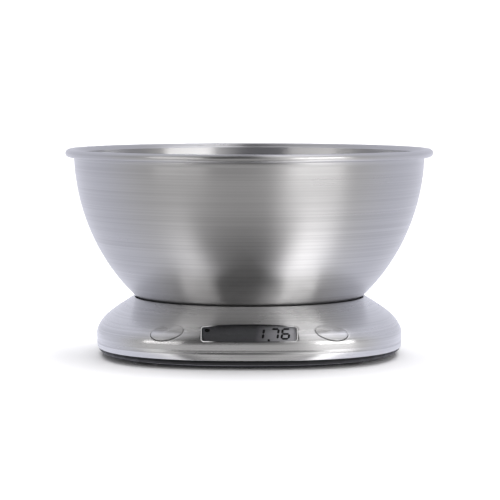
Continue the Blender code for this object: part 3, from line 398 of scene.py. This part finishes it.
class Paint:
    """A Principled material and a few short ways to add detail to it."""

    def __init__(self, name, colour, roughness, metallic=0.0, **sockets):
        self.material = bpy.data.materials.new(name)
        self.material.use_nodes = True
        self.tree = self.material.node_tree
        self.shader = self.tree.nodes["Principled BSDF"]
        self.set("Base Color", (*colour, 1))
        self.set("Roughness", roughness)
        self.set("Metallic", metallic)
        for label, value in sockets.items():
            self.set(label.replace("_", " "), value)
        self.bump_from = None

    def set(self, label, value):
        self.shader.inputs[label].default_value = value

    def node(self, kind, **values):
        made = self.tree.nodes.new(kind)
        for label, value in values.items():
            if hasattr(made, label):
                setattr(made, label, value)
            else:
                made.inputs[label.replace("_", " ")].default_value = value
        return made

    def link(self, source, target):
        self.tree.links.new(source, target)

    def place(self, scale):
        """Object coordinates, stretched by a scale along each axis."""
        where = self.node("ShaderNodeTexCoord")
        mapping = self.node("ShaderNodeMapping", Scale=scale)
        self.link(where.outputs["Object"], mapping.inputs["Vector"])
        return mapping.outputs["Vector"]

    def axis(self, letter):
        """One of the object coordinates, in metres."""
        split = self.node("ShaderNodeSeparateXYZ")
        self.link(self.place((1, 1, 1)), split.inputs["Vector"])
        return split.outputs[letter]

    def combine(self, operation, *terms):
        """A sum or another operation on numbers and sockets."""
        made = self.node("ShaderNodeMath", operation=operation)
        for term, target in zip(terms, made.inputs):
            if isinstance(term, (int, float)):
                target.default_value = term
            else:
                self.link(term, target)
        return made.outputs[0]

    def noise(self, scale, detail=3.0, roughness=0.5, stretch=(1, 1, 1)):
        made = self.node("ShaderNodeTexNoise", Scale=scale, Detail=detail, Roughness=roughness)
        self.link(self.place(stretch), made.inputs["Vector"])
        return made.outputs["Fac"]

    def ramp(self, source, low, high, out_low, out_high):
        made = self.node("ShaderNodeMapRange", From_Min=low, From_Max=high, To_Min=out_low, To_Max=out_high)
        self.link(source, made.inputs["Value"])
        return made.outputs["Result"]

    def vary(self, label, source, low, high, out_low, out_high):
        self.link(self.ramp(source, low, high, out_low, out_high), self.shader.inputs[label])

    def blend_colour(self, source, first, second, low=0.3, high=0.7):
        mix = self.node("ShaderNodeMix", data_type="RGBA")
        self.link(self.ramp(source, low, high, 0, 1), mix.inputs["Factor"])
        mix.inputs[6].default_value = (*first, 1)
        mix.inputs[7].default_value = (*second, 1)
        self.link(mix.outputs[2], self.shader.inputs["Base Color"])

    def bump(self, source, strength, distance):
        made = self.node("ShaderNodeBump", Strength=strength, Distance=distance)
        self.link(source, made.inputs["Height"])
        if self.bump_from:
            self.link(self.bump_from, made.inputs["Normal"])
        self.bump_from = made.outputs["Normal"]
        self.link(self.bump_from, self.shader.inputs["Normal"])


def shade(colour, factor):
    return [min(value * factor, 1) for value in colour]


def steel(name, colour, roughness, line_height, line_strength, fade=None):
    """Stainless steel with level brush lines, a slow change of polish, and a few faint smudges.

    The lines grow from weak at the lower of fade's two heights to full strength at the upper one.
    """
    paint = Paint(name, colour, roughness, 1.0, Anisotropic=0.85, Anisotropic_Rotation=0.25)
    tangent = paint.node("ShaderNodeTangent", direction_type="RADIAL", axis="Z")
    paint.link(tangent.outputs["Tangent"], paint.shader.inputs["Tangent"])
    fine = paint.noise(1 / line_height, 2.0, 0.6, stretch=(0.003, 0.003, 1))
    coarse = paint.noise(0.2 / line_height, 3.0, 0.55, stretch=(0.008, 0.008, 1))
    smudge = paint.noise(16, 3.0, 0.6)
    lines = fine
    if fade:
        lines = paint.combine("MULTIPLY", fine, paint.ramp(paint.axis("Z"), *fade, 0.12, 1.0))
    paint.bump(lines, line_strength, LINE_DEPTH)
    slow = paint.ramp(coarse, 0.3, 0.7, roughness - 0.02, roughness + 0.02)
    smudged = paint.combine("ADD", slow, paint.ramp(smudge, 0.35, 0.75, -0.01, 0.02))
    paint.link(smudged, paint.shader.inputs["Roughness"])
    paint.blend_colour(fine, shade(colour, 0.91), shade(colour, 1.06))
    return paint.material


def plastic(name, colour, roughness, grain=0.12, **sockets):
    """Moulded plastic: a fine spark-eroded grain, and a slightly uneven gloss."""
    paint = Paint(name, colour, roughness, **sockets)
    paint.bump(paint.noise(2600, 2.0, 0.6), grain, GRAIN_DEPTH)
    paint.vary("Roughness", paint.noise(24, 3.0), 0.3, 0.7, roughness - 0.06, roughness + 0.07)
    paint.blend_colour(paint.noise(40, 4.0), shade(colour, 0.9), shade(colour, 1.12))
    return paint.material


def plated(name, colour, roughness):
    """Bare or plated metal, slightly mottled."""
    paint = Paint(name, colour, roughness, 1.0)
    paint.vary("Roughness", paint.noise(300, 3.0), 0.3, 0.7, roughness - 0.08, roughness + 0.1)
    paint.blend_colour(paint.noise(120, 3.0), shade(colour, 0.88), colour)
    paint.bump(paint.noise(1500, 2.0), 0.08, PLATE_DEPTH)
    return paint.material


def clear_acrylic():
    """Thin moulded acrylic: see-through, with a gloss on its outer faces that is dulled to about a third."""
    paint = Paint("clear_acrylic", (0.35, 0.35, 0.36), 0.05, 1.0)
    paint.vary("Roughness", paint.noise(60, 2.0), 0.4, 0.8, 0.03, 0.09)
    clear = paint.node("ShaderNodeBsdfTransparent", Color=(0.95, 0.95, 0.96, 1))
    share = paint.node("ShaderNodeFresnel", IOR=1.49)
    sides = paint.node("ShaderNodeNewGeometry")
    front = paint.combine("SUBTRACT", 1.0, sides.outputs["Backfacing"])
    gloss = paint.combine("MULTIPLY", share.outputs["Fac"], front)
    mix = paint.node("ShaderNodeMixShader")
    paint.link(gloss, mix.inputs["Fac"])
    paint.link(clear.outputs["BSDF"], mix.inputs[1])
    paint.link(paint.shader.outputs["BSDF"], mix.inputs[2])
    paint.link(mix.outputs["Shader"], paint.tree.nodes["Material Output"].inputs["Surface"])
    return paint.material


def lcd_with_painted_reflection():
    """The LCD behind its polariser: dark grey, with a painted reflection of the right-hand softbox that makes
    it paler towards its right end, a little uneven.
    """
    paint = Paint("lcd_with_painted_reflection", (0.06, 0.06, 0.06), 0.3, Specular_IOR_Level=0.2)
    cloud = paint.ramp(paint.noise(60, 3.0), 0.3, 0.7, -1.5 * MM, 1.5 * MM)
    across = paint.combine("ADD", paint.axis("X"), cloud)
    # Painted reflection: paler towards the right end, where the lens would mirror the right-hand softbox.
    paint.blend_colour(across, (0.075, 0.076, 0.078), (0.62, 0.62, 0.63), low=4 * MM, high=30 * MM)
    paint.vary("Roughness", paint.noise(900, 2.0), 0.3, 0.7, 0.26, 0.34)
    return paint.material


def painted_edge_light():
    """The lens's outer edge: a painted highlight, pale at the window's two ends, and painted shade, dark
    between.
    """
    paint = Paint("lens_edge_painted_light", (0.3, 0.3, 0.3), 0.3)
    uneven = paint.ramp(paint.noise(150, 2.0), 0.3, 0.7, -3 * MM, 3 * MM)
    aside = paint.combine("ADD", paint.combine("ABSOLUTE", paint.axis("X")), uneven)
    # Painted highlight at the window's two ends, painted shade along its length.
    paint.blend_colour(aside, (0.03, 0.03, 0.032), (0.9, 0.9, 0.9), low=20 * MM, high=26 * MM)
    return paint.material


def printed_jacket():
    """A cell's wrapper: dark, with a lighter band near one end."""
    paint = Paint("cell_wrapper", (0.1, 0.12, 0.16), 0.28, Coat_Weight=0.3)
    band = paint.combine("GREATER_THAN", paint.axis("X"), 12 * MM)
    paint.blend_colour(band, (0.06, 0.075, 0.1), (0.62, 0.42, 0.12), 0, 1)
    paint.bump(paint.noise(400, 2.0), 0.05, GRAIN_DEPTH)
    return paint.material


# The CAD's material slots. The cover and the button caps are in the bowl's slot and are the same steel, but
# are painted paler than the bowl as a lit copy of it.
BOWL_STEEL = steel("bowl_steel", (0.55, 0.548, 0.55), 0.29, 1.1 * MM, 0.45, fade=(62 * MM, 90 * MM))
MATERIALS = {
    "brushed_steel": BOWL_STEEL,
    "black_plastic": plastic("black_moulded", (0.008, 0.008, 0.009), 0.45, Specular_IOR_Level=0.22),
    "grey_plastic": plastic("grey_moulded", (0.15, 0.15, 0.16), 0.48),
    "white_plastic": plastic("white_moulded", (0.72, 0.72, 0.70), 0.4),
    "rubber": plastic("soft_rubber", (0.03, 0.03, 0.03), 0.75, 0.3, Sheen_Weight=0.1),
    "clear_plastic": clear_acrylic(),
    "lcd_glass": lcd_with_painted_reflection(),
    "aluminium": plated("milled_aluminium", (0.77, 0.78, 0.79), 0.32),
    "zinc_steel": plated("zinc_plate", (0.62, 0.64, 0.68), 0.3),
    "nickel": plated("nickel_plate", (0.72, 0.69, 0.63), 0.22),
    "green_board": plastic("solder_mask", (0.02, 0.14, 0.055), 0.3, 0.05, Coat_Weight=0.4),
    "black_epoxy": plastic("cast_epoxy", (0.012, 0.012, 0.012), 0.25, 0.05),
    "silicone": plastic("white_silicone", (0.82, 0.82, 0.78), 0.5, 0.1, Subsurface_Weight=0.05),
    "cell_jacket": printed_jacket(),
    "red_wire": plastic("red_insulation", (0.45, 0.015, 0.015), 0.4, 0.05),
    "black_wire": plastic("black_insulation", (0.015, 0.015, 0.015), 0.4, 0.05),
    "grey_wire": plastic("grey_insulation", (0.4, 0.41, 0.42), 0.4, 0.05),
}
# Painted light: the cover's steel is the bowl's, painted paler.
COVER_STEEL_PAINTED_LIGHT = steel("cover_steel_painted_light", (0.67, 0.67, 0.673), 0.27, 0.6 * MM, 0.08)
LENS_EDGE_PAINTED_LIGHT = painted_edge_light()
LCD_INK = plastic("lcd_segments", (0.004, 0.004, 0.004), 0.6, 0.02, Specular_IOR_Level=0.08)


def paint_cad_nodes():
    """Every CAD node gets its slot's material, and its edges are eased where it stays in sight."""
    slots = {entry["node"]: entry["material_slot"] for entry in frame["record"]["subparts"]}
    for name, obj in NODES.items():
        obj.data.materials.clear()
        obj.data.materials.append(MATERIALS[slots[name]])
        soften(obj.data)
        ease_edges(obj, CAD_BEVEL, segments=2, angle=40).harden_normals = True


# ---- bowl ----


def bowl_wall(base_z):
    """(radius, height) points down the ellipsoid, on its outer face and on its inner one."""
    base_angle = math.asin((BOWL_HIGH.z - base_z) / BOWL_SEMI_HEIGHT)
    outer, inner = [], []
    for step in range(BOWL_STEPS + 1):
        angle = base_angle * step / BOWL_STEPS
        normal = Vector((math.cos(angle) / BOWL_RADIUS, -math.sin(angle) / BOWL_SEMI_HEIGHT)).normalized()
        radius = BOWL_RADIUS * math.cos(angle)
        height = BOWL_HIGH.z - BOWL_SEMI_HEIGHT * math.sin(angle)
        outer.append((radius, height))
        inner.append((radius - normal.x * BOWL_WALL, height - normal.y * BOWL_WALL))
    return outer, inner


def make_bowl():
    base_z = BOWL_LOW.z
    floor_z = base_z + BOWL_WALL
    outer, inner = bowl_wall(base_z)
    rim_centre = (BOWL_HIGH.x - RIM_RADIUS, BOWL_HIGH.z - RIM_RADIUS)
    rim = arc(rim_centre, RIM_RADIUS, *RIM_ANGLES, RIM_STEPS)
    inside = [point for point in inner if point[1] < rim[0][1] - RIM_CLEARANCE[0]]
    outside = [point for point in outer if point[1] < rim[-1][1] - RIM_CLEARANCE[1]]
    floor = [(0, floor_z), (BOWL_FLOOR_FLAT, floor_z), (inside[-1][0], floor_z)]
    base_edge = outside[-1][0]
    base = [outside[-3], outside[-2], (base_edge, base_z), (base_edge - BOWL_BASE_FLAT, base_z)]
    floor_corner = rounded([floor[1], floor[2], inside[-4]], BOWL_FLOOR_ROUNDING)[1:-1]
    profile = floor[:2] + floor_corner + inside[-4::-1]
    profile += rim + outside[:-3] + rounded(base, BOWL_FLOOR_ROUNDING) + [(0, base_z)]
    mesh = turned_mesh("steel_bowl", profile, BOWL_SIDES, sharp_angle=50)
    piece("steel_bowl", mesh, "bowl", MATERIALS["brushed_steel"], ["bowl"])


# ---- cover, window and buttons ----


def cover_rings():
    """Level rings that follow the sheet: over the collar, down the outside to the hem, and back up inside."""
    lip_inner_radius = COLLAR_CENTRE[0] - COLLAR_ROLL
    roll_outer = arc(COLLAR_CENTRE, COLLAR_ROLL, 180, SLOPE_START_ANGLE, 10)[:-1]
    roll_inner = arc(COLLAR_CENTRE, COLLAR_ROLL - SKIN, 180, SLOPE_START_ANGLE, 6)[:-1]
    skirt = [slope_profile(0)[-2][:2], SHOULDER, *CREASE, SKIRT_BOTTOM]
    outside = rounded(skirt, SHOULDER_ROUNDING, 5)[1:]
    inner_edge = (SKIRT_BOTTOM[0] - SKIN, SKIRT_BOTTOM[1])
    inner_wall = (SKIRT_BOTTOM[0] - SKIN, SKIRT_WALL_TOP)
    hem = rounded([outside[-2], SKIRT_BOTTOM, inner_edge, inner_wall], HEM_ROUNDING)
    below = outside[:-1] + hem[1:] + [(half - SKIN, height) for half, height in reversed([SHOULDER, *CREASE])]
    rings = [outline_ring(lip_inner_radius, COLLAR_LIP_Z, 2)]
    rings += [outline_ring(*point, 2) for point in roll_outer]
    rings += [outline_ring(*row) for row in slope_profile(0)[:-1]]
    rings += [outline_ring(*point, squareness_low(point[1])) for point in below]
    rings += [outline_ring(*row) for row in slope_profile(SKIN)[-2::-1]]
    rings += [outline_ring(*point, 2) for point in reversed(roll_inner)]
    rings.append(outline_ring(lip_inner_radius + SKIN, COLLAR_LIP_Z, 2))
    return rings


def button_oval(side, wider=0.0, lift=0.0):
    at = (side * BUTTON_AT[0], BUTTON_AT[1] + lift)
    return oval((BUTTON_RADII[0] + wider, BUTTON_RADII[1] + wider), at)


def make_cover():
    openings = [prism_shape(window_outline(0), *WINDOW_CUT)]
    openings += [prism_shape(button_oval(side, BUTTON_GROOVE), *BUTTON_CUT) for side in (-1, 1)]
    tool = merge_shapes("cover_openings", openings, WINDOW_AXES)
    skin = to_mesh("steel_cover", loft_shape(cover_rings(), wrap=True))
    mesh = boolean("steel_cover", skin, "DIFFERENCE", tool, COVER_BEVEL)
    piece("steel_cover", mesh, "housing", COVER_STEEL_PAINTED_LIGHT, ["top_cover"])


def make_lens():
    skin = to_mesh("window_lens", front_shell(LENS_INSET, LENS_INSET + LENS_THICKNESS))
    tool = merge_shapes("lens_outline", [prism_shape(window_outline(GAP), *LENS_CUT)], WINDOW_AXES)
    mesh = boolean("window_lens", skin, "INTERSECT", tool, LENS_BEVEL)
    piece("window_lens", mesh, "housing", MATERIALS["clear_plastic"], ["display_lens"])


def make_lens_edge():
    """The lens's outer edge: a narrow band round the window, just above the lens, which carries a painted
    highlight at its ends and painted shade between. The CAD doesn't have it.
    """
    skin = to_mesh("lens_edge_painted_light", front_shell(*EDGE_DEPTH))
    outer = merge_shapes("edge_outer", [prism_shape(window_outline(EDGE_INSET[0]), *LENS_CUT)], WINDOW_AXES)
    inner = merge_shapes("edge_inner", [prism_shape(window_outline(EDGE_INSET[1]), *EDGE_CUT)], WINDOW_AXES)
    band = boolean("lens_edge_painted_light", boolean("lens_edge_painted_light", skin, "INTERSECT", outer), "DIFFERENCE", inner)
    piece("lens_edge_painted_light", band, "housing", LENS_EDGE_PAINTED_LIGHT)


def make_button_caps():
    for word, side in (("left", -1), ("right", 1)):
        name = f"steel_button_{word}"
        skin = to_mesh(name, front_shell(0, BUTTON_CAP))
        outline = button_oval(side, lift=CAP_LIFT)
        tool = merge_shapes("cap_outline", [prism_shape(outline, *BUTTON_CUT)], WINDOW_AXES)
        mesh = boolean(name, skin, "INTERSECT", tool, CAP_BEVEL)
        piece(name, mesh, f"button_{word}", COVER_STEEL_PAINTED_LIGHT, [f"button_cap_{word}"])


# ---- display ----


def stroke(start, end):
    """One stroke of a digit: a bar with pointed ends, leaning to the right."""
    along = (end - start).normalized()
    across = Vector((-along.y, along.x)) * DIGIT_STROKE / 2
    tip = along * DIGIT_STROKE / 2
    points = [start, start + tip + across, end - tip + across, end, end - tip - across, start + tip - across]
    return [(point.x + point.y * DIGIT_LEAN, point.y) for point in points]


SEGMENTS_OF = {"1": "bc", "6": "acdefg", "7": "abc"}


def digit_outlines(digit, left):
    top, middle, right = DIGIT_HEIGHT, DIGIT_HEIGHT / 2, DIGIT_WIDTH
    bars = {
        "a": ((0, top), (right, top)),
        "b": ((right, top), (right, middle)),
        "c": ((right, middle), (right, 0)),
        "d": ((0, 0), (right, 0)),
        "e": ((0, 0), (0, middle)),
        "f": ((0, middle), (0, top)),
        "g": ((0, middle), (right, middle)),
    }
    outlines = []
    for letter in SEGMENTS_OF[digit]:
        start, end = map(Vector, bars[letter])
        along = (end - start).normalized() * STROKE_SPACE
        points = stroke(start + along, end - along)
        outlines.append([(left + x, DIGIT_BOTTOM + y) for x, y in points])
    return outlines


def make_display():
    half_height = (LCD_Y[1] - LCD_Y[0]) / 2
    outline = box_outline(LCD_X, half_height, LCD_CORNER, (0, (LCD_Y[0] + LCD_Y[1]) / 2))
    panel = merge_shapes("lcd", [prism_shape(outline, *LCD_Z)])
    soften(panel)
    piece("lcd", panel, "housing", MATERIALS["lcd_glass"], ["lcd_panel"], WINDOW_AXES)
    outlines = [outline for digit, left in READING for outline in digit_outlines(digit, left)]
    outlines.append(oval(POINT_RADII, (POINT_X, DIGIT_BOTTOM - POINT_DROP), 24))
    reading = merge_shapes("lcd_reading", [prism_shape(outline, *INK_Z) for outline in outlines])
    piece("lcd_reading", reading, "housing", LCD_INK, matrix=WINDOW_AXES)
    mark = merge_shapes("lcd_zero_mark", [prism_shape(oval(ZERO_MARK_RADII, ZERO_MARK_AT, 32), *INK_Z)])
    piece("lcd_zero_mark", mark, "housing", LCD_INK, matrix=WINDOW_AXES)


# ---- stage, light and camera ----


SWEEP_HALF_WIDTH = 4.0
SWEEP_FRONT, SWEEP_BACK = -5.0, 1.4
SWEEP_BEND = 1.0
SWEEP_BEND_STEPS = 12
SWEEP_TOP = 3.0


def make_stage():
    """A pale sweep: a floor that curves up into a wall behind. Reflections don't see it."""
    profile = [(SWEEP_FRONT, 0.0), (SWEEP_BACK, 0.0)]
    for step in range(1, SWEEP_BEND_STEPS + 1):
        angle = math.pi / 2 * step / SWEEP_BEND_STEPS
        profile.append((SWEEP_BACK + SWEEP_BEND * math.sin(angle), SWEEP_BEND * (1 - math.cos(angle))))
    profile.append((SWEEP_BACK + SWEEP_BEND, SWEEP_TOP))
    shape = bmesh.new()
    rows = [[shape.verts.new((x, y, z)) for x in (-SWEEP_HALF_WIDTH, SWEEP_HALF_WIDTH)] for y, z in profile]
    for near, far in zip(rows, rows[1:]):
        shape.faces.new((near[0], near[1], far[1], far[0]))
    mesh = to_mesh("sweep", shape, 60)
    paint = Paint("pale_paper", (0.92, 0.92, 0.925), 0.7)
    paint.bump(paint.noise(700, 3.0), 0.05, 0.2 * MM)
    mesh.materials.append(paint.material)
    sweep = bpy.data.objects.new("sweep", mesh)
    bpy.context.scene.collection.objects.link(sweep)
    sweep.visible_glossy = False


def area_light(name, azimuth, elevation, distance, size, radiance, colour=(1, 1, 1)):
    """A softbox that faces the scale.

    It stands at an angle from the camera's side and at an angle above the floor, both in degrees.
    """
    turn, climb = math.radians(azimuth), math.radians(elevation)
    level = math.cos(climb)
    at = Vector((math.sin(turn) * level, -math.cos(turn) * level, math.sin(climb))) * distance
    light = bpy.data.lights.new(name, "AREA")
    light.shape = "RECTANGLE"
    light.size, light.size_y = size
    light.energy = radiance * math.pi * size[0] * size[1]
    light.color = colour
    obj = bpy.data.objects.new(name, light)
    obj.location = at
    obj.rotation_euler = (-at).to_track_quat("-Z", "Y").to_euler()
    bpy.context.scene.collection.objects.link(obj)
    return obj


# What the room shows to the steel, by compass direction in degrees from the camera's side. The levels were
# tuned for the streaks that the steel shows. First above the horizon, where the softboxes hang in front of
# it, then a little below the horizon, then steeply below it, and last overhead.
ROOM_ABOVE = [
    (-180, 0.8),
    (-130, 0.78),
    (-95, 0.65),
    (-72, 0.5),
    (-58, 0.45),
    (-26, 0.08),
    (4, 0.1),
    (22, 0.9),
    (45, 0.5),
    (60, 0.5),
    (80, 0.65),
    (110, 0.78),
    (180, 0.8),
]
ROOM_BELOW = [
    (-180, 1.0),
    (-120, 0.8),
    (-72, 0.6),
    (-60, 0.5),
    (-24, 0.6),
    (14, 0.6),
    (27, 1.05),
    (62, 0.95),
    (75, 0.7),
    (180, 1.0),
]
ROOM_UNDER = [
    (-180, 0.8),
    (-140, 0.9),
    (-115, 0.9),
    (-98, 0.8),
    (-82, 1.0),
    (-68, 1.4),
    (-56, 1.3),
    (-44, 0.12),
    (34, 0.08),
    (50, 2.4),
    (72, 2.3),
    (90, 1.1),
    (140, 0.95),
    (180, 0.8),
]
ROOM_TOP = [
    (-180, 0.15),
    (-135, 0.7),
    (-105, 1.1),
    (-60, 0.7),
    (-15, 0.12),
    (12, 0.15),
    (45, 1.5),
    (105, 1.9),
    (135, 1.3),
    (180, 0.15),
]
# Each zone above ROOM_UNDER, with the heights between which it takes over from the one before. A height is
# the upward part of a direction, from -1 to 1.
ROOM_ZONES = [(ROOM_BELOW, -0.82, -0.5), (ROOM_ABOVE, -0.04, 0.04), (ROOM_TOP, 0.8, 0.93)]
FRONT_TINT = (1.0, 0.985, 0.985)
BACK_TINT = (0.94, 0.95, 1.07)
TINT_REACH = 0.5

SOFTBOX_ELEVATION = 16
SOFTBOX_DISTANCE = 2.4
SOFTBOX_SIZE = (1.5, 0.5)
WASH_ELEVATION = 75
WASH_DISTANCE = 2.2
WASH_SIZE = (3.0, 2.4)

# The camera: focal length and sensor in millimetres, its place from the bowl's rim, and where it looks.
CAMERA_LENS = 167.5
CAMERA_SENSOR = 36
CAMERA_SHIFT = 0.0015
CAMERA_DISTANCE = 1.522
CAMERA_ABOVE_RIM = 48.5 * MM
AIM_BELOW_RIM = 66.6 * MM


def compass_ramp(tree, turn, levels):
    """A grey that follows a compass direction, which turn gives as 0 to 1 from -180 to 180 degrees."""
    ramp = tree.nodes.new("ShaderNodeValToRGB")
    stops = ramp.color_ramp.elements
    stops.remove(stops[1])
    stops[0].position, stops[0].color = 0.0, (levels[0][1],) * 3 + (1,)
    for angle, level in levels[1:]:
        stops.new(0.5 + angle / 360).color = (level, level, level, 1)
    tree.links.new(turn, ramp.inputs["Fac"])
    return ramp.outputs["Color"]


def height_mix(tree, height, low, high, below, above):
    """A blend of two colours as the height, or another part of a direction, goes from low to high."""
    step = tree.nodes.new("ShaderNodeMapRange")
    step.interpolation_type = "SMOOTHSTEP"
    step.inputs["From Min"].default_value = low
    step.inputs["From Max"].default_value = high
    tree.links.new(height, step.inputs["Value"])
    mix = tree.nodes.new("ShaderNodeMix")
    mix.data_type = "RGBA"
    tree.links.new(step.outputs["Result"], mix.inputs["Factor"])
    for socket, colour in ((mix.inputs[6], below), (mix.inputs[7], above)):
        if isinstance(colour, tuple):
            socket.default_value = (*colour, 1)
        else:
            tree.links.new(colour, socket)
    return mix.outputs[2]


def make_world():
    """A room of greys, darkest behind the camera, with a slightly warm front and a cool back."""
    world = bpy.data.worlds.new("studio")
    bpy.context.scene.world = world
    world.use_nodes = True
    tree = world.node_tree
    where = tree.nodes.new("ShaderNodeTexCoord")
    split = tree.nodes.new("ShaderNodeSeparateXYZ")
    tree.links.new(where.outputs["Generated"], split.inputs["Vector"])
    front = tree.nodes.new("ShaderNodeMath")
    front.operation = "MULTIPLY"
    front.inputs[1].default_value = -1
    tree.links.new(split.outputs["Y"], front.inputs[0])
    turn = tree.nodes.new("ShaderNodeMath")
    turn.operation = "ARCTAN2"
    tree.links.new(split.outputs["X"], turn.inputs[0])
    tree.links.new(front.outputs[0], turn.inputs[1])
    whole = tree.nodes.new("ShaderNodeMapRange")
    whole.inputs["From Min"].default_value = -math.pi
    whole.inputs["From Max"].default_value = math.pi
    tree.links.new(turn.outputs[0], whole.inputs["Value"])
    direction = whole.outputs["Result"]
    colour = compass_ramp(tree, direction, ROOM_UNDER)
    for levels, low, high in ROOM_ZONES:
        above = compass_ramp(tree, direction, levels)
        colour = height_mix(tree, split.outputs["Z"], low, high, colour, above)
    shift = height_mix(tree, split.outputs["Y"], -TINT_REACH, TINT_REACH, FRONT_TINT, BACK_TINT)
    tint = tree.nodes.new("ShaderNodeMix")
    tint.data_type = "RGBA"
    tint.blend_type = "MULTIPLY"
    tint.inputs["Factor"].default_value = 1.0
    tree.links.new(colour, tint.inputs[6])
    tree.links.new(shift, tint.inputs[7])
    tree.links.new(tint.outputs[2], tree.nodes["Background"].inputs["Color"])


def make_lights():
    make_world()
    softbox = (SOFTBOX_ELEVATION, SOFTBOX_DISTANCE, SOFTBOX_SIZE)
    area_light("right_box", 44, *softbox, radiance=5.4, colour=(1.0, 0.99, 0.98))
    area_light("left_box", -45, *softbox, radiance=2.7, colour=(1.0, 0.98, 0.97))
    wash = area_light("floor_wash", 180, WASH_ELEVATION, WASH_DISTANCE, WASH_SIZE, radiance=3.3)
    wash.visible_glossy = False


def make_camera():
    camera = bpy.data.cameras.new("camera")
    camera.lens = CAMERA_LENS
    camera.sensor_width = CAMERA_SENSOR
    camera.shift_x = CAMERA_SHIFT
    obj = bpy.data.objects.new("camera", camera)
    obj.location = (0, -CAMERA_DISTANCE, BOWL_HIGH.z + CAMERA_ABOVE_RIM)
    aim = Vector((0, 0, BOWL_HIGH.z - AIM_BELOW_RIM))
    obj.rotation_euler = (aim - obj.location).to_track_quat("-Z", "Y").to_euler()
    bpy.context.scene.collection.objects.link(obj)
    bpy.context.scene.camera = obj


bpy.context.scene.view_settings.view_transform = "Standard"
make_camera()
paint_cad_nodes()
make_bowl()
make_cover()
make_lens()
make_lens_edge()
make_button_caps()
make_display()
make_stage()
make_lights()
